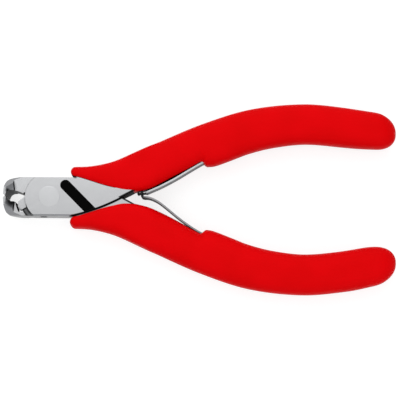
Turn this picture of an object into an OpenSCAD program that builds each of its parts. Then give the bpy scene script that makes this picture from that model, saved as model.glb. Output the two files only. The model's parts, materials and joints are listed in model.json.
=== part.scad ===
// Electronics end cutter with a box joint: one lever runs through a slot in the other and
// turns on a flush rivet. A plastic sleeve sits on each tang, and a pair of leaf springs
// hook into each other. Jaws point to -X, grips to +X, drawn shut and lying flat, in mm.

/* [Overall] */
// Length over the jaws and the grips
tool_length = 115; // [112:0.5:122]
// Pivot axis to the front of the jaws
jaw_reach = 13.4; // [13:0.1:14.4]
// Width over both grips at the palm, jaws shut
handle_span = 56.4; // [52.4:0.5:62.4]

/* [Head] */
// Width of the head across the joint
head_width = 11.4; // [10.8:0.1:12]
// Thickness of the head at the joint
joint_thickness = 6.8; // [6:0.1:7.4]
// Radius of the round shoulder each jaw turns on
shoulder_radius = 7.1; // [6.8:0.05:7.4]
// Gap at the round shoulder
shoulder_gap = 0.05; // [0.04:0.01:0.2]
// Thickness of the tongue that runs through the slot
tongue_thickness = 2.4; // [2:0.1:2.8]
// Gap on each side of the tongue
tongue_gap = 0.05; // [0.03:0.01:0.1]
// Radius of the tongue's round middle
tongue_radius = 5.2; // [4.8:0.05:5.4]
// How far the tool opens, in degrees
open_angle = 16; // [10:0.5:17]
// Gap between the two tangs where they cross
tang_gap = 0.35; // [0.3:0.05:0.6]
// Where the tangs' inner edges cross, from the pivot
tang_cross = 21.3; // [20.8:0.1:21.8]
// Chamfer along the cheek's straight edge
cheek_chamfer = 0.45; // [0.2:0.05:0.6]

/* [Rivet] */
// Diameter of the rivet's shank
rivet_d = 4.4; // [3.6:0.1:5]
// Diameter of the rivet's flush ends
rivet_head_d = 6.1; // [5.6:0.1:6.8]
// Depth of the flush ends' cone
rivet_cone = 1.1; // [0.8:0.1:1.6]
// Running clearance on the radius, in the tongue
rivet_play = 0.03; // [0.02:0.005:0.06]

/* [Jaws] */
// Length of the cutting edges, across the jaws
edge_width = 11.4; // [10.4:0.1:12.4]
// Cutting edge behind the front of the jaws
edge_setback = 0.75; // [0.5:0.05:0.9]
// Gap left between the two cutting edges when shut
edge_gap = 0.04; // [0.03:0.01:0.2]
// Height of one jaw's hollow, from the middle
hollow_height = 1.7; // [1.4:0.1:2]
// Where the wide part of the jaws starts, from the pivot
flare_start = 10.1; // [10.05:0.05:10.4]
// Turn of the step and the flare against the cheek's edge, in degrees
flare_turn = 8; // [6:1:12]
// Width of the flared part at its foot
flare_foot = 9.6; // [9:0.1:10]
// Where the ground bevel of the jaws' outer edge starts, from the pivot
bevel_start = 8; // [7.4:0.1:8.6]
// Lean of that bevel from the flat of the cheek, in degrees
bevel_lean = 54; // [46:1:58]
// Turn of that bevel towards the front, in degrees
bevel_turn = 34; // [24:1:38]
// Lean of the jaws' front, in degrees
front_lean = 9; // [6:1:11]
// Chamfer on the front's two ends, along the jaw
front_chamfer = 0.7; // [0.5:0.05:0.9]
// Radius of the round groove beside the cheek
groove_radius = 0.85; // [0.6:0.05:1.2]
// Radius of the relief where the jaw's hollow meets the shoulder
relief_radius = 0.42; // [0.3:0.02:0.5]
// Radius of the heel's round end
heel_radius = 0.95; // [0.8:0.05:1]
// Thickness of the heel outside the cheeks
heel_thickness = 4.8; // [3:0.1:5.6]
// Gap round the heel
heel_gap = 0.3; // [0.25:0.05:0.4]

/* [Sleeves] */
// Front end of the sleeves, from the pivot
sleeve_nose = 6.1; // [5.8:0.1:6.6]
// Thickness of the sleeves at the palm
sleeve_thickness = 11.4; // [10.6:0.1:12.4]
// Thickness of the sleeves at the nose
nose_thickness = 8.9; // [8.6:0.1:9.6]
// Wall of the sleeve over the tang's edges
sleeve_wall = 2.3; // [1.8:0.1:2.5]
// Length of the rounded end of the sleeves
end_round = 6; // [4.5:0.5:7]
// Solid plastic behind the end of the tang
end_solid = 9; // [7:0.5:12]
// Depth the tang is let in under the sleeve, each face
seat_depth = 0.3; // [0.2:0.05:0.4]
// Gap between a sleeve and its tang
sleeve_fit = 0.05; // [0.03:0.01:0.1]

/* [Springs] */
// Thickness of the leaf
leaf_thickness = 0.55; // [0.45:0.05:0.65]
// Width of the leaf
leaf_width = 3.2; // [2.6:0.1:3.8]
// Width of the neck that lies in the fork
neck_width = 1.3; // [1:0.1:1.5]
// Diameter of the rolled head at the upper leaf's tip
hook_d = 0.85; // [0.7:0.05:1]
// Gap round the leaf and its fixing
leaf_fit = 0.08; // [0.05:0.01:0.12]
// Diameter of the spring rivet's shank
pin_d = 1.4; // [1.1:0.1:1.6]
// Diameter of the spring rivet's head
pin_head_d = 2.6; // [2.2:0.1:2.9]
// Height of the spring rivet's head
pin_head = 0.5; // [0.4:0.05:0.6]
// Depth of the spring rivet in the tang
pin_depth = 3; // [2:0.1:3.6]

/* [Hidden] */
$fn = 64;

half_t = joint_thickness / 2;
half_head = head_width / 2;
half_edge = edge_width / 2;
end_x = tool_length - jaw_reach;
mid_x = (end_x - jaw_reach) / 2;
rest_z = max(edge_width, sleeve_thickness) / 2;
seam_x = sqrt(shoulder_radius * shoulder_radius - half_head * half_head);
seat_half = half_t - seat_depth;
half_tongue = tongue_thickness / 2;
palm_y = handle_span / 2;

steel = [0.78, 0.78, 0.79];
spring_steel = [0.62, 0.63, 0.65];
red = [0.85, 0.02, 0.02];

// A smooth curve y(x) through knots: cubic pieces with matching slopes.
function piece(k, x, i = 0) = (i >= len(k) - 2 || x < k[i + 1][0]) ? i : piece(k, x, i + 1);
function rise(k, a, b) = (k[b][1] - k[a][1]) / (k[b][0] - k[a][0]);
function slope(k, i) = rise(k, max(i - 1, 0), min(i + 1, len(k) - 1));
function blend(p, q, s, t, h, u) =
  p * (1 + 2 * u) * pow(1 - u, 2) + q * u * u * (3 - 2 * u)
  + h * (s * u * pow(1 - u, 2) - t * u * u * (1 - u));
function curve(k, x) =
  let (i = piece(k, x), h = k[i + 1][0] - k[i][0])
  blend(k[i][1], k[i + 1][1], slope(k, i), slope(k, i + 1), h, (x - k[i][0]) / h);
function steps(a, b, n) = [for (i = [0 : n]) a + (b - a) * i / n];
function bezier(p, n) = [for (t = steps(0, 1, n))
  pow(1 - t, 3) * p[0] + 3 * t * pow(1 - t, 2) * p[1] + 3 * t * t * (1 - t) * p[2] + t * t * t * p[3]];
function smooth(a, b, x) = let (u = min(max((x - a) / (b - a), 0), 1)) u * u * (3 - 2 * u);
function arc(r, a, b, n) = [for (t = steps(a, b, n)) r * [cos(t), sin(t)]];
function turned(list) = [for (i = [len(list) - 1 : -1 : 0]) list[i]];

// Outline of the upper sleeve: its outer edge, and its inner edge before and behind the
// place where the spring goes in.
outer_knots = [[sleeve_nose, 9], [12.5, 9.4], [19.6, 11.2], [30.2, 15.9], [44.3, 22], [58.4, palm_y - 1.7],
  [74, palm_y], [end_x - 15, palm_y - 1.05], [end_x - 6, palm_y - 2.8], [end_x, palm_y - 4.5]];
front_knots = [[sleeve_nose, 6], [9, 5.3], [12.5, 4.1], [16.1, 2.8], [19.6, 1.9], [23.1, 1.75], [26.6, 2.25],
  [30.2, 3.45], [37.2, 7.2], [44.3, 10.7], [48, 12.3]];
rear_knots = [[42, 9.7], [46, 9.55], [48.4, 9.75], [53, 11.4], [58.4, palm_y - 14.7], [65.4, palm_y - 12.9],
  [75, palm_y - 11.8], [end_x - 15, palm_y - 12.7], [end_x - 7, palm_y - 13.5], [end_x, palm_y - 14.1]];
half_nose = nose_thickness / 2;
half_palm = sleeve_thickness / 2;
thick_knots = [[sleeve_nose, half_nose], [20, half_nose + 0.4], [34, half_palm - 0.35], [50, half_palm - 0.1],
  [62, half_palm], [80, half_palm], [end_x - 8, half_palm - 0.15], [end_x, half_palm - 0.5]];
spring_in = 44.9;
section_power = 2.5;
end_power = 2.3;
nose_round = 1.3;

function outer(x) = curve(outer_knots, x);
function inner_front(x) = curve(front_knots, min(x, 48));
function inner_rear(x) = curve(rear_knots, max(x, 42));
function inner(x) = let (u = smooth(spring_in - 0.7, spring_in + 1.3, x))
  inner_front(x) * (1 - u) + inner_rear(x) * u;
function end_f(x) = let (u = max((x - end_x + end_round) / end_round, 0))
  pow(max(1 - pow(u, end_power), 0.004), 1 / end_power);
function nose_f(x) = let (u = max(1 - (x - sleeve_nose) / nose_round, 0)) sqrt(max(1 - u * u, 0.12));
function half_w(x) = (outer(x) - inner(x)) / 2 * end_f(x) * nose_f(x);
function half_b(x) = curve(thick_knots, x) * (0.12 + 0.88 * end_f(x)) * (0.4 + 0.6 * nose_f(x));
function centre(x) = (outer(x) + inner(x)) / 2;
function power(c) = sign(c) * pow(abs(c), 2 / section_power);
// Edge of the sleeve's lip where it meets the flat of the cheek.
function lip(x) = let (share = min(half_t / half_b(x), 1))
  centre(x) - half_w(x) * pow(1 - pow(share, section_power), 1 / section_power);

// Middle line of the leaf as it lies shut, tip first; the last stretch is the riveted foot.
foot = [[46.2, 11.1], [51, 12.85]];
foot_dir = (foot[1] - foot[0]) / norm(foot[1] - foot[0]);
foot_nrm = [-foot_dir[1], foot_dir[0]];
pin_at = foot[0] + foot_dir * 2.7;
head_top = leaf_thickness / 2 + pin_head;
root_knots = [[41.7, 8.6], [44.3, 10.15], foot[0], foot[1]];
upper_knots = concat([[26.9, 1.32], [28.2, 1.42], [29.8, 2.1], [32.4, 3.25], [36.8, 5.6]], root_knots);
lower_knots = concat([[28.05, 0.25], [28.8, 0.3], [30, 0.6], [32, 1.55], [34.4, 3.2], [38, 5.95]],
  root_knots);
leaf_xs = concat(steps(30, 44, 14), steps(44.6, 47, 4), [49, 51]);
upper_line = [for (x = concat([26.9, 27.6, 28.3, 29.1], leaf_xs)) [x, curve(upper_knots, x)]];
lower_line = [for (x = concat([28.05, 28.4, 28.8, 29.4], leaf_xs)) [x, curve(lower_knots, x)]];

// The lower leaf's turned-up end, tip first, and the floor of its fork, in the lower leaf's own frame.
turn_up = [[27.15, -1.95], [27.15, -0.5], [27.3, -0.05], [27.65, 0.19], [28.1, 0.25]];
fork_floor = -0.7;

function tangent(p, i) = let (d = p[min(i + 1, len(p) - 1)] - p[max(i - 1, 0)]) d / norm(d);
function shifted(p, o) = [for (i = [0 : len(p) - 1]) let (t = tangent(p, i)) p[i] + o * [-t[1], t[0]]];
function strip(p, w) = concat(shifted(p, w / 2), turned(shifted(p, -w / 2)));

// Tang of the upper handle, with all its edges moved out by g.
tang_end = end_x - end_solid;
pad_y = leaf_thickness / 2 / foot_nrm[1] + leaf_fit;
tang_wide = tang_cross + 4.9;
hook_room = 0.72;
tang_rise = (upper_knots[0][1] + hook_d / 2 + hook_room) / (upper_knots[0][0] - 1 - tang_cross);
inner_edge_knots = concat([[tang_cross, 0], [tang_wide, 4.9 * tang_rise]],
  [for (x = [tang_wide + 4.7, 37.2, 44]) [x, inner_front(x) + sleeve_wall + 0.3]]);
rear_edge_knots = concat([[51.3, curve([foot[0], foot[1]], 51.3) + pad_y + 0.5]],
  [for (x = [58.4, 65.4, 75, tang_end]) [x, inner_rear(x) + sleeve_wall]]);
function outer_edge(g) = [for (x = concat([9.6, 12, 15, 18, 21, 24, 27, 30], steps(34, 90, 14)))
  if (x < tang_end - 2) [x, outer(x) - sleeve_wall + g]];
function pad_edge(g) = [[51.3, curve(rear_edge_knots, 51.3) - g], [51 + g, foot[1][1] + pad_y - g],
  [46.3 - g, foot[0][1] + pad_y + 0.04 - g], [45.9 - g, inner_front(45.9) + sleeve_wall + 0.3 - g]];
function rear_edge(g) = [for (x = turned(steps(54, 90, 12))) if (x < tang_end - 2)
  [x, curve(rear_edge_knots, x) - g]];
function front_edge(g) = [for (x = turned(steps(tang_cross, 44, 10))) [x, curve(inner_edge_knots, x) - g]];
function end_edge(g) = let (top = outer(tang_end) - sleeve_wall, low = inner_rear(tang_end) + sleeve_wall)
  [[tang_end - 1.2 + g, top - 0.6 + g], [tang_end + g, top - 2], [tang_end + g, low + 2],
   [tang_end - 1.2 + g, low + 0.6 - g]];
function tang_points(g) = concat([[7.7 - g, half_head + g]], outer_edge(g), end_edge(g), rear_edge(g),
  pad_edge(g), front_edge(g));

// Lower edge of the upper lever, from the head to where the tangs cross.
cross_edge = bezier([[5.6, -half_head], [11.5, -4.55], [17, -2.3], [tang_cross, 0]], 12);

module place() translate([-mid_x, 0, rest_z]) children();

// Whole plan of the lever without its jaw: round head, cheek and tang.
module lever_plan() {
  a = asin(half_head / shoulder_radius);
  shoulder = arc(shoulder_radius, 180 + a, 180 - a, 24);
  polygon(concat(tang_points(0), turned([for (i = [0 : 11]) cross_edge[i]]), shoulder));
}

// Part of the plan that stays in front of the sleeve, at full thickness.
module bare_plan() {
  bare_end = tang_wide + 0.9;
  xs = concat([8.2, 9, 10], steps(11, bare_end, 14));
  lip_edge = [for (x = turned(xs)) [x, lip(x) - 0.12]];
  polygon(concat([[-40, 40], [-40, -40], [bare_end, -40]], lip_edge, [[8, 6.4], [7.2, 6.6], [7.2, 40]]));
}

// Ground of the other lever's two cheeks and of its tang, with room to turn.
module cheek_ground() {
  circle(shoulder_radius + shoulder_gap);
  translate([-shoulder_radius - 0.1, -0.75]) circle(relief_radius);
  g = tang_gap;
  mirrored = [for (p = turned(cross_edge)) [p[0] + g * 0.35, -p[1] + g]];
  polygon(concat([[-3, -9], [tang_cross + 7, -9], [tang_cross + 7, -5]], mirrored, [[-3, half_head + 3]]));
}

// Middle layer of the box lever that is cut away: the tongue's round, the way its neck
// swings in, the heel's pocket, and the side where the other tang comes out.
heel_at = [-8.3, -2.95];
pocket_r = norm(heel_at) + heel_radius + heel_gap;
heel_end = 180 + atan2(-heel_at[1], -heel_at[0]) + asin(heel_radius / norm(heel_at)) + heel_gap * 7;
front_step = 0.55;
neck_face = 81;
root_y = 0.25;
slot_face = neck_face - open_angle - 1.5;
module slot_plan() {
  r = tongue_radius + 0.1;
  back = 40 * [cos(180 + slot_face), sin(180 + slot_face)];
  polygon(concat(arc(40, slot_face, 172, 12), arc(pocket_r, 172, heel_end, 10),
    arc(r, heel_end, 180 + slot_face, 10), [back, [40, -40], [40, root_y]],
    arc(r, asin(root_y / r), slot_face, 14)));
}

// The heel's pocket beside the cheeks, open to both faces.
module pocket_plan() {
  polygon(concat(arc(pocket_r, 172, heel_end, 10), arc(shoulder_radius, heel_end, 172, 10)));
}

// Middle layer of the through lever that is cut away for the box lever's two solid roots.
// This lever is drawn turned over, so its own angles run the other way.
module root_ground() {
  r = tongue_radius;
  polygon(concat(arc(40, -neck_face, -40, 4), [[40, root_y]], arc(r, asin(root_y / r), -neck_face, 14)));
  polygon(concat(arc(40, 180 - neck_face, 360 - heel_end + heel_gap * 7, 6),
    arc(r, 360 - heel_end + heel_gap * 7, 180 - neck_face, 12)));
}

// The heel: a round-ended lobe of the tongue, thicker beyond the cheeks, that shows behind the
// jaws' hollow.
module heel_plan() {
  c = [heel_at[0], -heel_at[1]];
  polygon(concat([[-6.8, -0.6], [c[0] - heel_radius, 1.55]],
    [for (t = steps(180, 30, 12)) c + heel_radius * [cos(t), sin(t)]], [[-6.2, 2.9], [-4, 1], [-4, -0.6]]));
}

module jaw_plan() {
  shut = -edge_gap / 2;
  edge_x = edge_setback - jaw_reach;
  front = bezier([[-8.2, -half_head], [-0.1 - jaw_reach, 0.15 - half_head], [0.4 - jaw_reach, 0.7 - half_head],
    [-jaw_reach, -front_step]], 24);
  hollow = bezier([[edge_x, shut], [edge_x + 0.45, -hollow_height * 1.45], [-9.6, -hollow_height * 1.15],
    [-6.8, -0.35]], 24);
  polygon(concat([[-seam_x + 1, -half_head]], front, hollow, [[-5, -1.5]]));
}

// Width of the jaw seen from above: joint level, a slanted step, then a flare to the edge.
module flare_plan() {
  tip_x = flare_start + edge_setback - jaw_reach;
  side = [[2, half_t], [0, half_t], [-0.2, flare_foot / 2], [tip_x, half_edge], [-6, half_edge + 1]];
  polygon(concat(side, turned([for (p = side) [p[0], -p[1]]])));
}

// The jaw's front seen from above, with its chamfered ends; x runs from the front.
module front_plan() {
  side = [[20, half_edge], [front_chamfer, half_edge], [-0.2, half_edge - 0.7]];
  polygon(concat(side, turned([for (p = side) [p[0], -p[1]]])));
}

// Ground bevel on the outer edge of the jaw, on both sides.
module outer_bevel() {
  for (s = [0, 1]) mirror([0, 0, s]) translate([-bevel_start, -half_head, half_t])
    rotate([bevel_lean, -bevel_turn, 0]) translate([-20, -20, 0]) cube([40, 40, 20]);
}

module jaw() {
  difference() {
    intersection() {
      linear_extrude(edge_width + 2, center = true) jaw_plan();
      translate([-jaw_reach, -front_step, 0]) rotate([0, 0, front_lean]) rotate([90, 0, 0])
        linear_extrude(40, center = true) front_plan();
      union() {
        translate([-flare_start, -2.3, 0]) rotate([0, 0, -flare_turn]) rotate([90, 0, 0])
          linear_extrude(40, center = true) flare_plan();
        translate([-flare_start, -20, -half_t]) cube([20, 40, joint_thickness]);
      }
    }
    outer_bevel();
  }
}

module rivet_hole(play) {
  cylinder(r = rivet_d / 2 + play, h = 30, center = true);
}

module rivet_cones() {
  for (s = [0, 180]) rotate([s, 0, 0]) {
    translate([0, 0, half_t - rivet_cone]) cylinder(d1 = rivet_d, d2 = rivet_head_d, h = rivet_cone);
    translate([0, 0, half_t]) cylinder(d = rivet_head_d, h = 5);
  }
}

// Axis of the spring rivet, from the middle of the leaf into the tang.
module along_pin() {
  translate([pin_at[0], pin_at[1], 0]) rotate([0, 0, atan2(foot_nrm[1], foot_nrm[0])]) rotate([0, 90, 0])
    children();
}

module pin_hole() {
  along_pin() cylinder(d = pin_d, h = pin_depth + leaf_thickness / 2);
}

// What both levers share: upper tang, round head and lower jaw.
module blank() {
  linear_extrude(joint_thickness, center = true) intersection() { lever_plan(); bare_plan(); }
  linear_extrude(2 * seat_half, center = true) polygon(tang_points(0));
  jaw();
}

// Upper tang, two cheeks with a slot between them, and the lower jaw.
module box_lever() color(steel) place() {
  difference() {
    blank();
    linear_extrude(2 * (half_tongue + tongue_gap), center = true) slot_plan();
    linear_extrude(30, center = true) pocket_plan();
    rivet_hole(0);
    rivet_cones();
    pin_hole();
    for (s = [-1, 1]) {
      translate([0, 0, s * half_t]) rotate([0, 0, heel_end - 1]) rotate_extrude(angle = 243 - heel_end)
        translate([shoulder_radius + groove_radius, 0]) circle(groove_radius);
      translate([1.2, -half_head, s * half_t]) rotate([45, 0, 0])
        cube([2 * seam_x + 4, cheek_chamfer * sqrt(2), cheek_chamfer * sqrt(2)], center = true);
    }
  }
}

// Lower tang, tongue with its heel, and the upper jaw: the blank turned over.
module through_lever() color(steel) place() rotate([180, 0, 0]) {
  difference() {
    union() {
      blank();
      linear_extrude(heel_thickness, center = true) heel_plan();
    }
    for (s = [0, 180]) rotate([0, s, 0]) mirror([s / 180, 0, 0])
      translate([0, 0, half_tongue]) linear_extrude(20) cheek_ground();
    linear_extrude(tongue_thickness + 0.4, center = true) root_ground();
    rivet_hole(rivet_play);
    pin_hole();
  }
}

module joint_rivet() color(steel) place() {
  cylinder(d = rivet_d, h = joint_thickness - 2 * rivet_cone, center = true);
  for (s = [0, 180]) rotate([s, 0, 0]) translate([0, 0, half_t - rivet_cone])
    cylinder(d1 = rivet_d, d2 = rivet_head_d, h = rivet_cone);
}

// The sleeve's skin: rounded sections along X, closed by a small flat at each end.
sides = 32;
grip_xs = concat([for (u = [0, 0.12, 0.3, 0.55, 1]) sleeve_nose + nose_round * u], steps(9.2, 43.2, 15),
  [44.2, 44.6, 45, 45.4, 45.8, 46.6], steps(48.4, end_x - end_round, 18),
  [for (u = [0.25, 0.45, 0.62, 0.76, 0.87, 0.95, 1]) end_x - end_round + end_round * u]);
function ring(x) = [for (i = [0 : sides - 1]) let (t = 360 * (i + 0.5) / sides)
  [x, centre(x) + half_w(x) * power(cos(t)), half_b(x) * power(sin(t))]];

module skin() {
  n = len(grip_xs);
  pts = [for (x = grip_xs) each ring(x)];
  walls = [for (a = [0 : sides : (n - 2) * sides]) for (i = [0 : sides - 1])
    let (k = (i + 1) % sides, b = a + sides) each [[a + i, b + i, a + k], [a + k, b + i, b + k]]];
  caps = [[for (i = [0 : sides - 1]) i], [for (i = [sides - 1 : -1 : 0]) (n - 1) * sides + i]];
  polyhedron(pts, concat(walls, caps));
}

module leaf_room(line) {
  hidden = [for (p = line) if (p[0] > root_knots[0][0]) p];
  linear_extrude(leaf_width + 2 * leaf_fit, center = true)
    polygon(strip(hidden, leaf_thickness + 2 * leaf_fit));
}

module grip() {
  difference() {
    skin();
    linear_extrude(2 * (seat_half + sleeve_fit), center = true) polygon(tang_points(sleeve_fit));
    leaf_room(concat(upper_line, [upper_line[len(upper_line) - 1] + foot_dir * 0.2]));
    along_pin() translate([0, 0, -head_top - leaf_fit])
      cylinder(d = pin_head_d + 2 * leaf_fit, h = head_top + leaf_fit);
  }
}

module upper_grip() color(red) place() grip();

module lower_grip() color(red) place() rotate([180, 0, 0]) grip();

module leaf(line) {
  difference() {
    linear_extrude(leaf_width, center = true) polygon(strip(line, leaf_thickness));
    along_pin() cylinder(d = pin_d + 2 * rivet_play, h = 4, center = true);
  }
}

// The upper leaf ends in a narrow neck and a wider head that hooks behind the fork.
module upper_spring() color(spring_steel) place() {
  head = upper_line[0] - [1, 0.02];
  neck = concat([head], [for (i = [0 : 2]) upper_line[i]]);
  leaf([for (i = [2 : len(upper_line) - 1]) upper_line[i]]);
  linear_extrude(neck_width, center = true) polygon(strip(neck, leaf_thickness));
  translate([head[0], head[1], 0]) cylinder(d = hook_d, h = leaf_width - 0.4, center = true, $fn = 24);
}

// The lower leaf turns up at its end into a fork that holds the other leaf's neck.
module lower_spring() color(spring_steel) place() rotate([180, 0, 0]) {
  difference() {
    union() {
      leaf(lower_line);
      linear_extrude(leaf_width, center = true) polygon(strip(turn_up, leaf_thickness));
    }
    translate([26, fork_floor - 3, -neck_width / 2 - 0.15]) cube([3, 3, neck_width + 0.3]);
  }
}

module spring_rivet() {
  along_pin() {
    translate([0, 0, -head_top]) cylinder(d = pin_head_d, h = pin_head);
    translate([0, 0, -leaf_thickness / 2]) cylinder(d = pin_d, h = pin_depth + leaf_thickness);
  }
}

module upper_spring_rivet() color(steel) place() spring_rivet();

module lower_spring_rivet() color(steel) place() rotate([180, 0, 0]) spring_rivet();

box_lever();
through_lever();
joint_rivet();
upper_grip();
lower_grip();
upper_spring();
lower_spring();
upper_spring_rivet();
lower_spring_rivet();
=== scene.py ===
"""Looks of an electronics end cutter: polished box-jointed levers, red sleeves, two hooked leaf springs.

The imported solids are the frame. Lengths in this file are millimetres from the pivot until a
mesh is made, with the jaws at -X, the upper handle at +Y and the front cheek at +Z.
"""
import json
import math

import bmesh
import bpy
import numpy as np
from mathutils import Matrix, Vector


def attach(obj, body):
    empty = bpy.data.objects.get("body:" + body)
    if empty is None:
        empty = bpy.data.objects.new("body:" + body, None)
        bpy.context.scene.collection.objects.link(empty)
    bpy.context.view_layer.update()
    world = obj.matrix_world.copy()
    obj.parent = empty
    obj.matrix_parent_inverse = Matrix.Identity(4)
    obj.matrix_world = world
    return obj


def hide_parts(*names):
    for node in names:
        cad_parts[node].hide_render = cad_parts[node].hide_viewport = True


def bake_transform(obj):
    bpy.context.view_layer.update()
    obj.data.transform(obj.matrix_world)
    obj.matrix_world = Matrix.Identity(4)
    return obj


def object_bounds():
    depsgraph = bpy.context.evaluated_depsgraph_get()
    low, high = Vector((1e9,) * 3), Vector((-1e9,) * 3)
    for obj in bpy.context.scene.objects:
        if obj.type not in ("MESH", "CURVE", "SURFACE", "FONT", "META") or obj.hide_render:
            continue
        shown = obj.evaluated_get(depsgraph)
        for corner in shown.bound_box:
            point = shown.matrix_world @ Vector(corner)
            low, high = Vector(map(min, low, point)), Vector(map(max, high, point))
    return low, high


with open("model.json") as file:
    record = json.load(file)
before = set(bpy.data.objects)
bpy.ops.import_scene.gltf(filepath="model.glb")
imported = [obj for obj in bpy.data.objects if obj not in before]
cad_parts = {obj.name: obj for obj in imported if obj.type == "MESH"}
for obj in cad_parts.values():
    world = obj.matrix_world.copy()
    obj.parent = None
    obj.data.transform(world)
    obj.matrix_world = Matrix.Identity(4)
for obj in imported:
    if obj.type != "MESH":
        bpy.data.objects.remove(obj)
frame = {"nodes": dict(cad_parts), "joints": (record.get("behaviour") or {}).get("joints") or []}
cad_box = [list(corner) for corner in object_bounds()]

MM = 0.001
PIVOT = np.array(frame["joints"][0]["pos_m"]) / MM
BOX_HALF = "box_half"
THROUGH_HALF = "through_half"

# Camera, as the photograph was taken: from above, leaning a little to the grips and to the near side
VIEW_LEAN = (2.33, -7.31)
VIEW_ROLL = 0.66
VIEW_DISTANCE = 600.0
VIEW_WIDTH = 117.66
VIEW_AIM = (0.09, -0.36, 5.7)
SENSOR = 36.0

# Brightness of the studio against the sine of the height above the horizon
STUDIO = [(0.0, 1.0), (0.16, 1.0), (0.3, 0.3), (0.72, 0.4), (0.93, 1.0)]

# Sleeve outline of the upper handle, the same knots as the solid's; within SPRING_IN, where the leaf
# goes in, the inner edge passes from the front knots to the rear ones
END_X = cad_box[1][0] / MM - PIVOT[0]
PALM_Y = cad_box[1][1] / MM
SLEEVE_NOSE = 6.1
SLEEVE_HALF = (cad_box[1][2] - cad_box[0][2]) / MM / 2
NOSE_HALF = 4.45
END_ROUND = 6.0
NOSE_ROUND = 1.3
NOSE_THICK = 0.4
SECTION_POWER = 2.5
END_POWER = 2.3
SPRING_IN = (44.2, 46.2)
ROUND_SIDES = 96
OUTER_KNOTS = [
    (SLEEVE_NOSE, 9.0), (12.5, 9.4), (19.6, 11.2), (30.2, 15.9), (44.3, 22.0),
    (58.4, PALM_Y - 1.7), (74.0, PALM_Y), (END_X - 15.0, PALM_Y - 1.05),
    (END_X - 6.0, PALM_Y - 2.8), (END_X, PALM_Y - 4.5),
]
FRONT_KNOTS = [
    (SLEEVE_NOSE, 6.0), (9.0, 5.3), (12.5, 4.1), (16.1, 2.8), (19.6, 1.9), (23.1, 1.75),
    (26.6, 2.25), (30.2, 3.45), (37.2, 7.2), (44.3, 10.7), (48.0, 12.3),
]
REAR_KNOTS = [
    (42.0, 9.7), (46.0, 9.55), (48.4, 9.75), (53.0, 11.4), (58.4, PALM_Y - 14.7),
    (65.4, PALM_Y - 12.9), (75.0, PALM_Y - 11.8), (END_X - 15.0, PALM_Y - 12.7),
    (END_X - 7.0, PALM_Y - 13.5), (END_X, PALM_Y - 14.1),
]
THICK_KNOTS = [
    (SLEEVE_NOSE, NOSE_HALF), (20.0, NOSE_HALF + 0.4), (34.0, SLEEVE_HALF - 0.35),
    (50.0, SLEEVE_HALF - 0.1), (62.0, SLEEVE_HALF), (80.0, SLEEVE_HALF),
    (END_X - 8.0, SLEEVE_HALF - 0.15), (END_X, SLEEVE_HALF - 0.5),
]

# Beside the tips of the tangs' bare faces the section is squarer: how much is added to its power, and
# the stretches over which that comes and goes
TIP_SQUARER = 1.5
TIP_FROM = (18.5, 25.0)
TIP_TO = (27.0, 33.0)

# How far each sleeve's inner edge stands towards the middle of the tool, beyond that outline
UPPER_FULL = [
    (SLEEVE_NOSE, 0.0), (23.0, 0.0), (26.0, 0.25), (30.0, 0.55), (36.0, 0.65), (41.0, 0.5),
    (44.0, 0.2), (47.0, 0.0), (END_X, 0.0),
]
LOWER_FULL = [
    (SLEEVE_NOSE, 0.18), (12.0, 0.25), (20.0, 0.38), (24.0, 0.18), (27.5, 0.15), (31.0, 0.4),
    (36.0, 0.75), (41.0, 0.6), (45.0, 0.4), (50.0, 0.05), (84.0, 0.2), (93.0, 0.7), (98.0, 0.35),
    (END_X, 0.0),
]

# How far each sleeve's end stands off from that outline, away from the middle of the tool
UPPER_LIFT = [(SLEEVE_NOSE, 0.0), (88.0, 0.0), (97.0, 0.45), (END_X, 0.6)]
LOWER_LIFT = [(SLEEVE_NOSE, 0.0), (88.0, 0.0), (97.0, -0.15), (END_X, -0.2)]

# Leaf springs: middle lines from the tip to the riveted foot; the strip is wider than the solid's
LEAF_THICKNESS = 0.55
LEAF_WIDTH = 4.4
LEAF_EASE = 0.1
NECK_WIDTH = 1.3
NECK_SHOULDER = 0.15
FOOT = [(46.2, 11.1), (51.0, 12.85)]
UPPER_LEAF = [
    (26.9, 1.32), (28.2, 1.42), (29.8, 2.1), (32.4, 3.25), (36.8, 5.6), (41.7, 8.6),
    (44.3, 10.15),
]
LOWER_LEAF = [
    (28.05, -0.08), (28.8, -0.06), (30.0, 0.22), (32.0, 1.22), (34.4, 3.02), (38.0, 5.95),
    (41.7, 8.6), (44.3, 10.15),
]
HOOK = (26.1, 1.22)
HOOK_R = 0.36
HOOK_HALF = 1.2
HOOK_EASE = 0.12
FORK_X = 27.15
FORK_TOP = -1.95
FORK_FLOOR = -0.7
FORK_PLAY = 0.3
FORK_ROWS = 4
FORK_BEND = [(FORK_X, FORK_FLOOR), (FORK_X, -0.25), (27.4, -0.1), LOWER_LEAF[0]]

# Head: the cheeks' height, half the width, the round shoulder, where the tangs cross and how fast they
# part, the relief where the jaw's hollow meets the shoulder, and the cheek's long edge
CHEEK_Z = 3.4
HEAD_HALF = 5.7
CHEEK_R = 7.1
TANG_CROSS = 21.3
TANG_RISE = 0.53
RELIEF_AT = (-7.2, 0.75)
RELIEF_R = 0.75
CHEEK_EDGE = [(5.6, -HEAD_HALF), (11.5, -4.55), (17.0, -2.3), (TANG_CROSS, 0.0)]

# Joint rivet: its ends and its shank, how far it stands proud, and its fine rim
RIVET_R = 3.05
SHANK_R = 2.2
SHANK_HALF = 2.3
RIVET_PROUD = 0.004
RIVET_RIM = 0.02
RIM_DEPTH = 0.006

# Round groove beside the cheek: its radii, its heights, and the limits of the quarter it lies in
GROOVE_R = (CHEEK_R - 0.06, CHEEK_R + 1.85)
GROOVE_Z = (2.5, CHEEK_Z + 0.01)
GROOVE_X = -2.0
GROOVE_Y = -2.5

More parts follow.
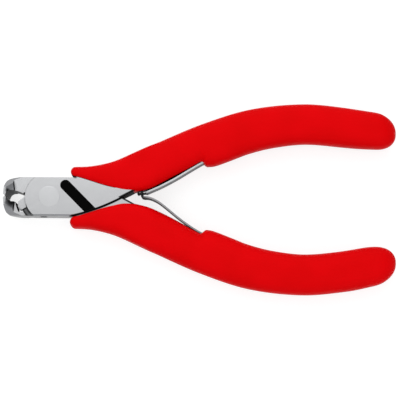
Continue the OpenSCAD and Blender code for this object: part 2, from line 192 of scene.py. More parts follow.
# Where the levers' finishes and their painted shade change: the step, the tangs, the jaws' hollow and the
# heel
STEP_X = (-11.0, -9.3)
TANGS_X = 6.5
HOLLOW_X = -6.5
HOLLOW_HALF = 2.3
HEEL_X = -10.2
HEEL_Y = -5.0

# Eased edges: on the tangs' inner edges, on most others, and at the shoulder's tight seam; and the
# angle below which two faces count as one
TANG_EASE = 0.12
USUAL_EASE = 0.045
SEAM_EASE = 0.015
SMOOTH_ANGLE = math.radians(14)

# Painted shade and painted dark reflections: spots darkened on the jaws, beside the sleeves' noses and
# round the springs' hook, and how far each spreads
JAW_SHADE_SPOTS = [
    ((-10.95, -1.75, 4.9), 2.4), ((-12.1, 1.45, 5.2), 1.0), ((-12.2, -0.9, 5.2), 0.8),
    ((7.6, 6.0, 3.4), 0.9), ((7.6, -6.0, 3.4), 0.9),
]
HOOK_SHADE_SPOTS = [((26.6, 0.8, 1.7), 3.0)]

# Painted shadow line along the cheek's long edge: how far below the edge its middle lies, and half its
# width;
# how far painted shade spreads from the tangs' inner edges; and the shares of these between which it fades
SEAM_BELOW = 0.25
SEAM_HALF = 0.4
TANG_SHADE_REACH = 0.52
SHADE_FADE = (0.7, 1.3)

# Black band on the front cheek
BAND_START = (4.75, 3.4)
BAND_WIDTH = 3.1
BAND_TURN = -45.0
BAND_SHORT = 0.06
BAND_PROUD = 0.008

# Card that the tool lies on, and the soft boxes: their size and aim, and each one's place and watts
FLOOR_HALF = 2000.0
BOX_SIZE = 800.0
BOX_AIM = (10.0, 0.0, 0.0)
SOFT_BOXES = {
    "far box": ((-120.0, 420.0, 330.0), 1.6),
    "near box": ((120.0, -420.0, 330.0), 0.92),
}

# Sockets of the Mix node when it mixes colours
MIX_A = 6
MIX_B = 7
MIX_RESULT = 2


def linear(hex_colour):
    """sRGB hex to linear RGBA."""
    value = np.array([int(hex_colour[i:i + 2], 16) for i in (1, 3, 5)]) / 255.0
    low = value / 12.92
    high = ((value + 0.055) / 1.055) ** 2.4
    return (*np.where(value <= 0.04045, low, high).tolist(), 1.0)


def add(tree, kind, inputs=None, **settings):
    """Adds one node with its settings; each input is a value or the socket that feeds it."""
    node = tree.nodes.new(kind)
    for name, value in settings.items():
        setattr(node, name, value)
    for key, value in (inputs or {}).items():
        socket = node.inputs[key]
        if isinstance(value, bpy.types.NodeSocket):
            tree.links.new(value, socket)
        else:
            socket.default_value = value
    return node


def new_tree(name):
    """A new material, its node tree and the output node, which is the only node in it."""
    material = bpy.data.materials.new(name)
    material.use_nodes = True
    tree = material.node_tree
    tree.nodes.clear()
    return material, tree, add(tree, "ShaderNodeOutputMaterial")


def per_mm(size):
    """Texture scale at which one period is about this many millimetres."""
    return 1.0 / (size * MM)


def painted_seam_shade(tree, where):
    """How far the steel is left unshaded by a narrow line of painted shadow beside the cheek's long edge,
    where the joint's gap casts it, and by painted shade at the tangs' inner edges. The first edge is
    taken as a cubic in X, worked out by Horner's rule; the others are straight lines that fork where the
    levers cross."""
    place = add(tree, "ShaderNodeSeparateXYZ", {0: where})
    x, y = [
        add(tree, "ShaderNodeMath", {0: place.outputs[axis], 1: 1 / MM, 2: -PIVOT[i]},
            operation="MULTIPLY_ADD").outputs[0]
        for i, axis in enumerate("XY")]
    edge = bezier(CHEEK_EDGE, np.linspace(0, 1, 60))
    height, *powers = np.polyfit(edge[:, 0], edge[:, 1], 3).tolist()
    for power in powers:
        level = add(tree, "ShaderNodeMath", {0: height, 1: x, 2: power}, operation="MULTIPLY_ADD")
        height = level.outputs[0]
    above = add(tree, "ShaderNodeMath", {0: y, 1: height}, operation="SUBTRACT")
    middle = add(tree, "ShaderNodeMath", {0: above.outputs[0], 1: SEAM_BELOW}, operation="ADD")
    rise = add(tree, "ShaderNodeMath", {
        0: x, 1: -TANG_RISE, 2: TANG_RISE * TANG_CROSS}, operation="MULTIPLY_ADD")
    aside = add(tree, "ShaderNodeMath", {0: y}, operation="ABSOLUTE")
    fork = add(tree, "ShaderNodeMath", {0: aside.outputs[0], 1: rise.outputs[0]}, operation="ADD")
    unshaded = 1.0
    for gap, reach in ((middle, SEAM_HALF), (fork, TANG_SHADE_REACH)):
        away = add(tree, "ShaderNodeMath", {0: gap.outputs[0]}, operation="ABSOLUTE")
        line = add(tree, "ShaderNodeMapRange", {
            "Value": away.outputs[0], "From Min": SHADE_FADE[0] * reach, "From Max": SHADE_FADE[1] * reach,
            "To Min": 0.05, "To Max": 1.0}, interpolation_type="SMOOTHSTEP")
        both = add(tree, "ShaderNodeMath", {0: unshaded, 1: line.outputs[0]}, operation="MULTIPLY")
        unshaded = both.outputs[0]
    return unshaded


def polished_steel(name, colour, roughness, grain_mm, lay, shade_range=(0.25, 0.8), shade_spots=(), rim=1.0, seam=False):
    """Ground and polished tool steel: near mirror, with a fine lay of polishing lines along one
    direction, faint cloudy patches where the mop left it duller, painted shade that darkens it slowly
    from the far side to the near side, and painted shade that darkens corners and gaps. lay stretches
    the lines along their direction; shade_range is the share of open sky at which the painted shade is
    darkest and at which it ends; shade_spots lists places darkened with painted shade and painted
    reflections; rim is how bright the face stays when it is seen edge on; seam adds painted shadow along
    the joint."""
    material, tree, out = new_tree(name)
    where = add(tree, "ShaderNodeTexCoord").outputs["Object"]
    # Real polishing lines are a few hundredths of a millimetre apart; grain_mm is more, so that they show.
    stretched = add(tree, "ShaderNodeMapping", {"Vector": where, "Scale": lay}).outputs[0]
    lines = add(tree, "ShaderNodeTexNoise", {
        "Vector": stretched, "Scale": per_mm(grain_mm), "Detail": 3.0, "Roughness": 0.6})
    clouds = add(tree, "ShaderNodeTexNoise", {"Vector": where, "Scale": per_mm(3.0), "Detail": 4.0})
    dulled = add(tree, "ShaderNodeMapRange", {
        "Value": clouds.outputs["Fac"], "From Min": 0.3, "From Max": 0.7,
        "To Min": roughness * 0.8, "To Max": roughness * 1.25})
    tone = add(tree, "ShaderNodeMapRange", {
        "Value": lines.outputs["Fac"], "From Min": 0.3, "From Max": 0.7, "To Min": 0.965, "To Max": 1.0})
    # Painted shade: the steel darkens in corners and gaps, where less light reaches
    open_sky = add(tree, "ShaderNodeAmbientOcclusion", {"Distance": 1.6 * MM}, samples=12)
    unshaded = add(tree, "ShaderNodeMapRange", {
        "Value": open_sky.outputs["AO"], "From Min": shade_range[0], "From Max": shade_range[1],
        "To Min": 0.1, "To Max": 1.0})
    # Painted shade: the steel darkens slowly towards the near side
    side = add(tree, "ShaderNodeSeparateXYZ", {0: where}).outputs["Y"]
    slow = add(tree, "ShaderNodeMapRange", {
        "Value": side, "From Min": -6.0 * MM, "From Max": 6.0 * MM, "To Min": 0.86, "To Max": 1.0})
    bright = add(tree, "ShaderNodeMath", {0: tone.outputs[0], 1: unshaded.outputs[0]}, operation="MULTIPLY")
    bright = add(tree, "ShaderNodeMath", {0: bright.outputs[0], 1: slow.outputs[0]}, operation="MULTIPLY")
    # Painted shade and painted dark reflections: spots where the steel is darkened
    for place, reach in shade_spots:
        away = add(tree, "ShaderNodeVectorMath", {0: where, 1: (place + PIVOT) * MM}, operation="DISTANCE")
        spot_shade = add(tree, "ShaderNodeMapRange", {
            "Value": away.outputs["Value"], "From Min": 0.25 * reach * MM, "From Max": reach * MM,
            "To Min": 0.06, "To Max": 1.0}, interpolation_type="SMOOTHSTEP")
        bright = add(tree, "ShaderNodeMath", {
            0: bright.outputs[0], 1: spot_shade.outputs[0]}, operation="MULTIPLY")
    # Painted shadow along the joint's seam and painted shade at the tangs' inner edges
    if seam:
        seam_unshaded = painted_seam_shade(tree, where)
        bright = add(tree, "ShaderNodeMath", {0: bright.outputs[0], 1: seam_unshaded}, operation="MULTIPLY")
    base = add(tree, "ShaderNodeMix", {
        "Factor": bright.outputs[0], MIX_A: linear("#000000"), MIX_B: linear(colour)}, data_type="RGBA")
    bump = add(tree, "ShaderNodeBump", {
        "Height": lines.outputs["Fac"], "Strength": 0.12, "Distance": 0.004 * MM})
    shader = add(tree, "ShaderNodeBsdfPrincipled", {
        "Base Color": base.outputs[MIX_RESULT], "Roughness": dulled.outputs[0], "Normal": bump.outputs[0],
        "Metallic": 1.0, "Specular Tint": (rim, rim, rim, 1.0)})
    tree.links.new(shader.outputs[0], out.inputs["Surface"])
    return material


def moulded_pvc(name, colour, deep):
    """Soft red PVC, moulded: saturated, half matt, with a fine spark-eroded grain, slow waves of
    shrinkage that make long highlights waver, and painted shade, near black, in creases and where the
    spring lies close to it."""
    material, tree, out = new_tree(name)
    where = add(tree, "ShaderNodeTexCoord").outputs["Object"]
    # The real grain is about 0.1 mm; it is drawn at 0.3 mm so that it shows at this size.
    grain = add(tree, "ShaderNodeTexNoise", {
        "Vector": where, "Scale": per_mm(0.3), "Detail": 2.0, "Roughness": 0.5})
    waves = add(tree, "ShaderNodeTexNoise", {"Vector": where, "Scale": per_mm(9.0), "Detail": 1.0})
    shade = add(tree, "ShaderNodeMapRange", {
        "Value": waves.outputs["Fac"], "From Min": 0.35, "From Max": 0.65})
    skin = add(tree, "ShaderNodeMix", {
        "Factor": shade.outputs[0], MIX_A: linear(deep), MIX_B: linear(colour)}, data_type="RGBA")
    # Painted shade: the red goes near black in creases and where the spring lies close
    open_sky = add(tree, "ShaderNodeAmbientOcclusion", {"Distance": 1.5 * MM}, samples=12)
    unshaded = add(tree, "ShaderNodeMapRange", {
        "Value": open_sky.outputs["AO"], "From Min": 0.35, "From Max": 0.8})
    base = add(tree, "ShaderNodeMix", {
        "Factor": unshaded.outputs[0], MIX_A: linear("#0A0000"), MIX_B: skin.outputs[MIX_RESULT]},
        data_type="RGBA")
    dull = add(tree, "ShaderNodeMapRange", {
        "Value": grain.outputs["Fac"], "From Min": 0.3, "From Max": 0.7, "To Min": 0.38, "To Max": 0.5})
    coarse = add(tree, "ShaderNodeBump", {
        "Height": waves.outputs["Fac"], "Strength": 0.25, "Distance": 0.12 * MM})
    bump = add(tree, "ShaderNodeBump", {
        "Height": grain.outputs["Fac"], "Strength": 0.12, "Distance": 0.02 * MM,
        "Normal": coarse.outputs[0]})
    shader = add(tree, "ShaderNodeBsdfPrincipled", {
        "Base Color": base.outputs[MIX_RESULT], "Roughness": dull.outputs[0], "Normal": bump.outputs[0],
        "IOR": 1.53, "Specular IOR Level": 0.02})
    tree.links.new(shader.outputs[0], out.inputs["Surface"])
    return material


def painted_black_shade(name):
    """Painted shadow as a matt, finely rough black, for faces that stand in deep shade."""
    material, tree, out = new_tree(name)
    where = add(tree, "ShaderNodeTexCoord").outputs["Object"]
    # The grit of its bump is drawn at 0.2 mm so that it shows at this size.
    rough = add(tree, "ShaderNodeTexNoise", {"Vector": where, "Scale": per_mm(0.2), "Detail": 2.0})
    bump = add(tree, "ShaderNodeBump", {
        "Height": rough.outputs["Fac"], "Strength": 0.2, "Distance": 0.01 * MM})
    shader = add(tree, "ShaderNodeBsdfPrincipled", {
        "Base Color": linear("#0E0E0F"), "Roughness": 0.7, "Normal": bump.outputs[0], "IOR": 1.5,
        "Specular IOR Level": 0.1})
    tree.links.new(shader.outputs[0], out.inputs["Surface"])
    return material


def stoved_black(name):
    """Black stoving enamel in a shallow etched band: deep black, satin, with a little orange peel."""
    material, tree, out = new_tree(name)
    where = add(tree, "ShaderNodeTexCoord").outputs["Object"]
    peel = add(tree, "ShaderNodeTexNoise", {"Vector": where, "Scale": per_mm(0.35), "Detail": 1.0})
    bump = add(tree, "ShaderNodeBump", {
        "Height": peel.outputs["Fac"], "Strength": 0.15, "Distance": 0.01 * MM})
    shader = add(tree, "ShaderNodeBsdfPrincipled", {
        "Base Color": linear("#020202"), "Roughness": 0.5, "Normal": bump.outputs[0], "IOR": 1.5,
        "Specular IOR Level": 0.03})
    tree.links.new(shader.outputs[0], out.inputs["Surface"])
    return material


def pale_card(name):
    """Pale card for the floor: matt, with a glow towards the lens and the metal that takes it to white
    and leaves the soft shadow of the tool."""
    material, tree, out = new_tree(name)
    card = add(tree, "ShaderNodeBsdfPrincipled", {
        "Base Color": linear("#A4A4A4"), "Roughness": 0.9, "Specular IOR Level": 0.0})
    path = add(tree, "ShaderNodeLightPath")
    seen = add(tree, "ShaderNodeMath", {
        0: path.outputs["Is Camera Ray"], 1: path.outputs["Is Glossy Ray"]}, operation="MAXIMUM")
    seen = add(tree, "ShaderNodeMath", {
        0: seen.outputs[0], 1: path.outputs["Is Transmission Ray"]}, operation="MAXIMUM")
    lift = add(tree, "ShaderNodeMath", {0: seen.outputs[0], 1: 0.78}, operation="MULTIPLY")
    glow = add(tree, "ShaderNodeEmission", {"Color": (1.0, 1.0, 1.0, 1.0), "Strength": lift.outputs[0]})
    both = add(tree, "ShaderNodeAddShader", {0: card.outputs[0], 1: glow.outputs[0]})
    tree.links.new(both.outputs[0], out.inputs["Surface"])
    return material


def curve(knots, x):
    """Cubic pieces through the knots; the slope at a knot is that of the line between its neighbours."""
    at, height = np.array(knots, float).T
    index = np.arange(len(at))
    before = np.maximum(index - 1, 0)
    after = np.minimum(index + 1, len(at) - 1)
    slope = (height[after] - height[before]) / (at[after] - at[before])
    i = np.clip(np.searchsorted(at, x, side="right") - 1, 0, len(at) - 2)
    step = at[i + 1] - at[i]
    u = (x - at[i]) / step
    ends = height[i] * (1 + 2 * u) * (1 - u) ** 2 + height[i + 1] * u ** 2 * (3 - 2 * u)
    return ends + step * (slope[i] * u * (1 - u) ** 2 - slope[i + 1] * u ** 2 * (1 - u))


def smoothstep(a, b, x):
    """Rises from 0 at a to 1 at b, level at both ends."""
    u = np.clip((x - a) / (b - a), 0.0, 1.0)
    return u * u * (3 - 2 * u)


def bezier(points, t):
    """Cubic Bezier curve through the first and last of four points."""
    p = np.array(points, float)
    t = np.asarray(t)[:, None]
    return (1 - t) ** 3 * p[0] + 3 * t * (1 - t) ** 2 * p[1] + 3 * t * t * (1 - t) * p[2] + t ** 3 * p[3]


def make_piece(name, points, faces, material, body=None):
    """A smooth mesh object from points in millimetres from the pivot, riding on a body if one is
    given."""
    mesh = bpy.data.meshes.new(name)
    mesh.from_pydata(((np.asarray(points) + PIVOT) * MM).tolist(), [], faces)
    mesh.validate()
    mesh.shade_smooth()
    mesh.materials.append(material)
    piece = bpy.data.objects.new(name, mesh)
    bpy.context.scene.collection.objects.link(piece)
    if body:
        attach(piece, body)
    return piece


def grid_faces(rows, columns, wrap):
    """Quads of a grid of points, row by row; wrap joins the last column to the first."""
    j, i = np.meshgrid(np.arange(rows - 1), np.arange(columns if wrap else columns - 1), indexing="ij")
    k = (i + 1) % columns
    quads = np.stack([j * columns + i, j * columns + k, (j + 1) * columns + k, (j + 1) * columns + i], -1)
    return quads.reshape(-1, 4).tolist()


def flipped(points):
    """Points of the upper half turned over to the lower handle, half a turn about X."""
    return np.asarray(points) * (1.0, -1.0, -1.0)


def sleeve_points(x, turn, full, lift):
    """Superellipse section at x: the middle of the sleeve, plus half its width times a power of the
    cosine in Y and half its thickness times the same power of the sine in Z. Both halves run out in
    a superellipse at the end and in a quarter circle at the nose, where some thickness is left."""
    back = np.clip((x - END_X + END_ROUND) / END_ROUND, 0.0, 1.0)
    tail = np.maximum(1 - back ** END_POWER, 0.0) ** (1 / END_POWER)
    ahead = np.clip(1 - (x - SLEEVE_NOSE) / NOSE_ROUND, 0.0, 1.0)
    nose = np.sqrt(np.maximum(1 - ahead ** 2, 0.0))
    share = smoothstep(*SPRING_IN, x)
    front = curve(FRONT_KNOTS, np.minimum(x, FRONT_KNOTS[-1][0]))
    rear = curve(REAR_KNOTS, np.maximum(x, REAR_KNOTS[0][0]))
    inner = front * (1 - share) + rear * share - curve(full, x)
    outer = np.minimum(curve(OUTER_KNOTS, x), PALM_Y)
    half_width = (outer - inner) / 2 * tail * nose
    thick_nose = NOSE_THICK + (1 - NOSE_THICK) * nose
    half_thick = np.minimum(curve(THICK_KNOTS, x), SLEEVE_HALF) * tail * thick_nose
    c, s = np.cos(turn), np.sin(turn)
    at_tip = smoothstep(*TIP_FROM, x) * (1 - smoothstep(*TIP_TO, x))
    power = 2 / (SECTION_POWER + TIP_SQUARER * at_tip)
    y = (outer + inner) / 2 + curve(lift, x) + half_width * np.sign(c) * np.abs(c) ** power
    z = half_thick * np.sign(s) * np.abs(s) ** power
    return np.stack([x + 0 * y, y, z], -1)


def sleeve(name, lower, body, node, material):
    """The smooth skin of a sleeve: rounded sections along X, closer together at both ends."""
    nose = SLEEVE_NOSE + NOSE_ROUND * (1 - np.cos(np.linspace(0.02, math.pi / 2, 14)))
    along = np.linspace(SLEEVE_NOSE + NOSE_ROUND, END_X - END_ROUND, 190)[1:-1]
    tail = END_X - END_ROUND + END_ROUND * np.sin(np.linspace(0.0, math.pi / 2, 26))
    x = np.concatenate([nose, along, tail])
    sides = ROUND_SIDES
    turn = np.arange(sides) * 2 * math.pi / sides
    shape = (LOWER_FULL, LOWER_LIFT) if lower else (UPPER_FULL, UPPER_LIFT)
    points = sleeve_points(x[:, None], turn[None, :], *shape)
    rows = len(x)
    faces = grid_faces(rows, sides, wrap=True)
    faces.append(list(range(sides))[::-1])
    faces.append([(rows - 1) * sides + i for i in range(sides)])
    points = points.reshape(-1, 3)
    if lower:
        points = flipped(points)
    piece = make_piece(name, points, faces, material, body)
    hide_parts(node)


def leaf_line(knots, x):
    """Middle line of a leaf: cubic pieces to the sleeve, then straight along its riveted foot."""
    return np.stack([x, curve([*knots, *FOOT], x)], -1)


def leaf(name, line, half, fork, lower, node, finishes):
    """A strip carried along its line: rows follow the line, columns run across its width; half is
    half the width at each row. As many first rows as fork says are left open between the columns at
    the slot's sides. Solidify adds the thickness and gives the slit edges their own finish."""
    slot = (NECK_WIDTH + FORK_PLAY) / LEAF_WIDTH
    across = np.array([-1.0, -0.75, -slot, -0.2, 0.2, slot, 0.75, 1.0])
    in_slot = np.abs(across[:-1] + across[1:]) / 2 < slot
    wide = len(in_slot)
    z = half[:, None] * across[None, :]
    middles = np.repeat(line[:, None, :], len(across), 1)
    points = np.concatenate([middles, z[..., None]], -1).reshape(-1, 3)
    faces = grid_faces(len(line), len(across), wrap=False)
    faces = [face for i, face in enumerate(faces) if i // wide >= fork or not in_slot[i % wide]]
    if lower:
        points = flipped(points)
    piece = make_piece(name, points, faces, finishes[0])
    piece.data.materials.append(finishes[1])
    thick = piece.modifiers.new("thickness", "SOLIDIFY")
    thick.material_offset_rim = 1
    thick.thickness = LEAF_THICKNESS * MM
    thick.offset = 0.0
    ease = piece.modifiers.new("eased edges", "BEVEL")
    ease.width = LEAF_EASE * MM
    ease.segments = 2
    ease.limit_method = "ANGLE"
    ease.angle_limit = math.radians(40)
    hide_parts(node)
    return piece


def upper_leaf(finishes):
    """The upper leaf: a narrow neck from the hook's head, then the full strip to its foot."""
    neck_end = UPPER_LEAF[1][0]
    neck = np.linspace(HOOK[0], neck_end, 8)
    strip = np.linspace(neck_end + NECK_SHOULDER, FOOT[1][0], 64)
    x = np.concatenate([neck, strip])
    half = np.where(x <= neck_end, NECK_WIDTH, LEAF_WIDTH) / 2
    line = leaf_line(UPPER_LEAF, x)
    return leaf("upper_spring_leaf", line, half, 0, False, "upper_spring", finishes)


def lower_leaf(finishes):
    """The lower leaf: straight tines that stand up as a fork, a tight bend, then the strip to its foot."""
    tines = [(FORK_X, y) for y in np.linspace(FORK_TOP, FORK_FLOOR, FORK_ROWS, endpoint=False)]
    bend = bezier(FORK_BEND, np.linspace(0, 1, 9)[:-1])
    strip = leaf_line(LOWER_LEAF, np.linspace(LOWER_LEAF[0][0], FOOT[1][0], 66))
    line = np.concatenate([tines, bend, strip])
    half = np.full(len(line), LEAF_WIDTH / 2)
    return leaf("lower_spring_leaf", line, half, FORK_ROWS, True, "lower_spring", finishes)


def in_groove(place):
    """Whether a place lies in the round groove beside the cheek of the box lever."""
    x, y, z = place
    round_the_cheek = GROOVE_R[0] < math.hypot(x, y) < GROOVE_R[1]
    return round_the_cheek and x < GROOVE_X and y < GROOVE_Y and GROOVE_Z[0] < abs(z) <= GROOVE_Z[1]


def lever_finish(place, normal):
    """Which finish a face of a lever has: 0 polished, on the flat faces and the front's chamfers;
    1 ground, rougher and darkened with painted shade, on the sides and the flares; 2 dark painted shade, in
    the jaws' hollow and round the heel; 3 as milled, rougher and darkened with painted shade, in the round
    groove; 4 black painted shadow, on the step and the tangs' inner edges."""
    x, y, z = place
    level = abs(normal[2])
    steep = level < 0.5
    if in_groove(place) and abs(z) < CHEEK_Z - 0.01:
        return 3
    on_step = STEP_X[0] < x < STEP_X[1] and normal[0] > 0.8
    between_tangs = x > TANGS_X and steep
    if on_step or between_tangs:
        return 4
    in_hollow = x < HOLLOW_X and abs(y) < HOLLOW_HALF and normal[0] > -0.6
    round_heel = HEEL_X < x < HOLLOW_X and HEEL_Y < y < 0.0
    if steep and (in_hollow or round_heel):
        return 2
    front_chamfer = normal[0] < -0.5 and level > 0.6
    return 0 if level > 0.97 or front_chamfer else 1


def edge_ease(place, angle):
    """How far an edge is eased, in millimetres: not where the faces nearly agree, in the groove or at
    the relief, a little at the shoulder's tight seam, and more on the tangs' inner edges."""
    x, y, z = place
    at_relief = math.hypot(x - RELIEF_AT[0], y - RELIEF_AT[1]) < RELIEF_R
    if angle < SMOOTH_ANGLE or in_groove(place) or at_relief:
        return 0.0
    at_face = abs(z) > CHEEK_Z - 0.05
    at_shoulder = abs(math.hypot(x, y) - CHEEK_R) < 0.1
    if at_shoulder and at_face:
        return SEAM_EASE
    inner_edge = x > TANG_CROSS and abs(abs(y) - TANG_RISE * (x - TANG_CROSS)) < 0.2
    return TANG_EASE if inner_edge and at_face else USUAL_EASE


def eased_copy(name, node, body, finishes):
    """A copy of a lever's solid: doubles merged, its flat facets made anew, each face given its
    finish, and the sharp edges eased so that they catch the light as a polished edge does."""
    mesh = frame["nodes"][node].data.copy()
    mesh.name = name
    mesh.materials.clear()
    for material in finishes:
        mesh.materials.append(material)
    work = bmesh.new()
    work.from_mesh(mesh)
    bmesh.ops.remove_doubles(work, verts=work.verts, dist=0.004 * MM)
    bmesh.ops.dissolve_limit(work, angle_limit=math.radians(0.2), verts=work.verts, edges=work.edges)
    bmesh.ops.triangulate(work, faces=work.faces)
    for face in work.faces:
        face.smooth = True
        centre = np.array(face.calc_center_median()) / MM - PIVOT
        face.material_index = lever_finish(centre, face.normal)
    weight = work.edges.layers.float.new("bevel_weight_edge")
    for edge in work.edges:
        middle = np.array((edge.verts[0].co + edge.verts[1].co) / 2) / MM - PIVOT
        angle = edge.calc_face_angle(0.0)
        edge[weight] = edge_ease(middle, angle) / TANG_EASE
        edge.smooth = edge[weight] > 0 or angle < SMOOTH_ANGLE
    work.to_mesh(mesh)
    work.free()
    piece = bpy.data.objects.new(name, mesh)
    bpy.context.scene.collection.objects.link(piece)
    ease = piece.modifiers.new("eased edges", "BEVEL")
    ease.width = TANG_EASE * MM
    ease.segments = 2
    ease.limit_method = "WEIGHT"
    ease.use_clamp_overlap = False
    ease.loop_slide = False
    flat = piece.modifiers.new("flat faces", "WEIGHTED_NORMAL")
    flat.weight = 100
    flat.keep_sharp = True
    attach(piece, body)
    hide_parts(node)


def black_band(material):
    """A flat strip on the front cheek: columns run along a 45 degree line from a round end to the
    cheek's edge, rows across it; the round end is a half circle and the far end follows the edge."""
    radius = BAND_WIDTH / 2
    turn = math.radians(BAND_TURN)
    way = np.array([math.cos(turn), math.sin(turn)])
    side = np.array([-way[1], way[0]])
    offset = bezier(CHEEK_EDGE, np.linspace(0, 1, 200)) - BAND_START
    order = np.argsort(offset @ side)
    v = radius * np.sin(np.linspace(-math.pi / 2, math.pi / 2, 33))
    far = np.interp(v, (offset @ side)[order], (offset @ way)[order]) - BAND_SHORT
    near = -np.sqrt(np.maximum(radius ** 2 - v ** 2, 0.0))
    t = np.linspace(0, 1, 40)
    s = near[:, None] + (far - near)[:, None] * t[None, :]
    flat = np.array(BAND_START) + s[..., None] * way + v[:, None, None] * side
    points = np.concatenate([flat, np.full((*s.shape, 1), CHEEK_Z + BAND_PROUD)], -1)
    faces = grid_faces(len(v), len(t), wrap=False)
    make_piece("black_band", points.reshape(-1, 3), faces, material, BOX_HALF)


def spun(name, top, centre, material, body=None):
    """A turned piece: a profile of radius against height, and its mirror image below, spun about an
    axis along Z through the centre."""
    profile = np.array(top + [(r, -z) for r, z in top[-2::-1]])
    turn = np.linspace(0, 2 * math.pi, ROUND_SIDES, endpoint=False)
    r, z = profile.T[..., None]
    points = np.stack([r * np.cos(turn), r * np.sin(turn), z + 0 * turn], -1) + (*centre, 0.0)
    faces = grid_faces(len(profile), len(turn), wrap=True)
    return make_piece(name, points.reshape(-1, 3), [face[::-1] for face in faces], material, body)


def rivet(material):
    """The joint rivet, faced flush: a fine eased rim leaves a faint ring on each cheek."""
    face = CHEEK_Z + RIVET_PROUD
    top = [
        (0.0, face), (1.2, face), (RIVET_R - 0.12, face), (RIVET_R - RIVET_RIM, face),
        (RIVET_R, face - RIM_DEPTH), (RIVET_R - 0.05, CHEEK_Z - 0.1), (SHANK_R, SHANK_HALF), (SHANK_R, 0.0),
    ]
    piece = spun("joint_rivet_turned", top, (0.0, 0.0), material, BOX_HALF)
    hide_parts("joint_rivet")


def hook_head(material):
    """The head at the tip of the upper leaf: a short round bar across the leaf with eased ends."""
    corner = HOOK_EASE / 4
    top = [
        (0.0, HOOK_HALF), (HOOK_R - HOOK_EASE, HOOK_HALF), (HOOK_R - corner, HOOK_HALF - corner),
        (HOOK_R, HOOK_HALF - HOOK_EASE), (HOOK_R, 0.0),
    ]
    piece = spun("upper_spring_head", top, HOOK, material)
    return piece


def set_camera():
    """Looks down at the aim from a place that leans off the vertical by two angles, along X and Y; the
    width of the view at the aim sets the lens."""
    data = bpy.data.cameras.new("camera")
    data.sensor_width = SENSOR
    data.lens = SENSOR * VIEW_DISTANCE / VIEW_WIDTH
    data.clip_start = 0.01
    camera = bpy.data.objects.new("camera", data)
    bpy.context.scene.collection.objects.link(camera)
    lean = [math.tan(math.radians(angle)) for angle in VIEW_LEAN]
    back = Vector((*lean, 1.0)).normalized()
    right = Vector((0.0, 1.0, 0.0)).cross(back).normalized()
    facing = Matrix((right, back.cross(right), back)).transposed()
    camera.location = (Vector(VIEW_AIM) + back * VIEW_DISTANCE) * MM
    camera.rotation_euler = (facing @ Matrix.Rotation(math.radians(VIEW_ROLL), 3, "Z")).to_euler()
    bpy.context.scene.camera = camera


def soft_box(name, place, power):
    """A square soft box at a place, facing the tool."""
    data = bpy.data.lights.new(name, "AREA")
    data.size = BOX_SIZE * MM
    data.energy = power
    lamp = bpy.data.objects.new(name, data)
    bpy.context.scene.collection.objects.link(lamp)
    lamp.location = Vector(place) * MM
    lamp.rotation_euler = (Vector(BOX_AIM) - Vector(place)).to_track_quat("-Z", "Y").to_euler()


def light_studio():
    """Surroundings by height: white at the level of the floor, dim walls above it and a broad bright
    ceiling, with a wide soft box on the far side and a weaker one on the near side."""
    scene = bpy.context.scene
    scene.view_settings.view_transform = "Standard"
    world = bpy.data.worlds.new("studio")
    scene.world = world
    world.use_nodes = True
    tree = world.node_tree
    tree.nodes.clear()
    way = add(tree, "ShaderNodeTexCoord").outputs["Generated"]
    height = add(tree, "ShaderNodeSeparateXYZ", {0: way}).outputs["Z"]
    ramp = add(tree, "ShaderNodeValToRGB", {"Fac": height})
    stops = ramp.color_ramp.elements
    while len(stops) < len(STUDIO):
        stops.new(0.5)
    for stop, (at, level) in zip(stops, STUDIO):
        stop.position = at
        stop.color = (level, level, level, 1.0)
    room = add(tree, "ShaderNodeBackground", {"Color": ramp.outputs["Color"], "Strength": 1.0})
    add(tree, "ShaderNodeOutputWorld", {"Surface": room.outputs[0]})
    for name, (place, power) in SOFT_BOXES.items():
        soft_box(name, place, power)


def lay_floor():
    """The white card that the tool lies on."""
    half = FLOOR_HALF * MM
    corners = [(-half, -half, 0.0), (half, -half, 0.0), (half, half, 0.0), (-half, half, 0.0)]
    mesh = bpy.data.meshes.new("floor")
    mesh.from_pydata(corners, [], [(0, 1, 2, 3)])
    mesh.materials.append(pale_card("pale card"))
    floor = bpy.data.objects.new("floor", mesh)
    bpy.context.scene.collection.objects.link(floor)


set_camera()
light_studio()
lay_floor()

# Which way the polishing lines run, as the scale of their pattern along X, Y and Z
along_x = (0.12, 1.0, 1.0)
along_z = (1.0, 1.0, 0.2)
along_leaf = (0.1, 0.1, 1.0)
no_lay = (1.0, 1.0, 1.0)

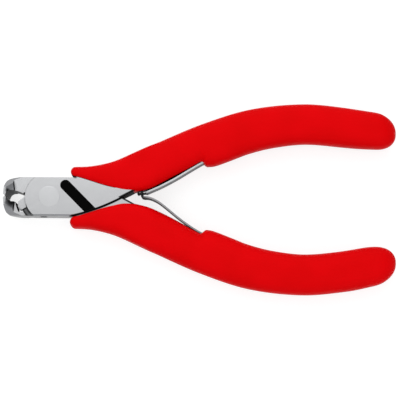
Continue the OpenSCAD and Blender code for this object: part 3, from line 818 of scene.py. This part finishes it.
# Painted shade: finishes 1 and 3 are rougher and also darker by painted shade, 2 and 4 are dark painted
# shade
lever_finishes = [
    polished_steel("polished tool steel", "#CACBCD", 0.17, 0.16, along_x, shade_spots=JAW_SHADE_SPOTS, seam=True),
    polished_steel("ground tool steel with painted shade", "#8E8F92", 0.26, 0.2, along_x, shade_spots=JAW_SHADE_SPOTS, rim=0.8),
    polished_steel("dark painted shade on tool steel", "#3E3F41", 0.36, 0.25, along_z, shade_range=(0.45, 0.9), rim=0.5),
    polished_steel("milled tool steel with painted shade", "#7A7B7D", 0.5, 0.2, along_z, shade_range=(0.35, 0.9)),
    painted_black_shade("black painted shade"),
]
rivet_steel = polished_steel("faced rivet steel", "#CFD0D2", 0.19, 0.16, no_lay)
spring_finishes = [
    polished_steel("rolled spring steel", "#7C7D80", 0.28, 0.12, along_leaf, shade_spots=HOOK_SHADE_SPOTS, rim=0.45),
    polished_steel("slit edge of spring steel", "#C2C3C5", 0.22, 0.12, along_leaf, shade_spots=HOOK_SHADE_SPOTS),
]
# Painted shade: darker copies of the spring steel for the lower leaf
shaded_spring_finishes = [
    polished_steel("spring steel with painted shade", "#4A4B4E", 0.3, 0.12, along_leaf, shade_spots=HOOK_SHADE_SPOTS, rim=0.2),
    polished_steel("edge of spring steel with painted shade", "#97989A", 0.26, 0.12, along_leaf, shade_spots=HOOK_SHADE_SPOTS, rim=0.6),
]
red_pvc = moulded_pvc("red moulded PVC", "#EC0309", "#E60307")
enamel = stoved_black("black stoved enamel")

eased_copy("box_lever_polished", "box_lever", BOX_HALF, lever_finishes)
eased_copy("through_lever_polished", "through_lever", THROUGH_HALF, lever_finishes)
rivet(rivet_steel)
black_band(enamel)
sleeve("upper_sleeve", False, BOX_HALF, "upper_grip", red_pvc)
sleeve("lower_sleeve", True, THROUGH_HALF, "lower_grip", red_pvc)
upper = upper_leaf(spring_finishes)
head = hook_head(spring_finishes[0])
lower = lower_leaf(shaded_spring_finishes)

# The leaves and the hook's head have their placement baked into their points
for piece, own, other, flip in (
        (upper, BOX_HALF, THROUGH_HALF, 1.0), (head, BOX_HALF, THROUGH_HALF, 1.0),
        (lower, THROUGH_HALF, BOX_HALF, -1.0)):
    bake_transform(piece)

for node in ("upper_spring_rivet", "lower_spring_rivet"):
    frame["nodes"][node].data.materials.clear()
    frame["nodes"][node].data.materials.append(rivet_steel)
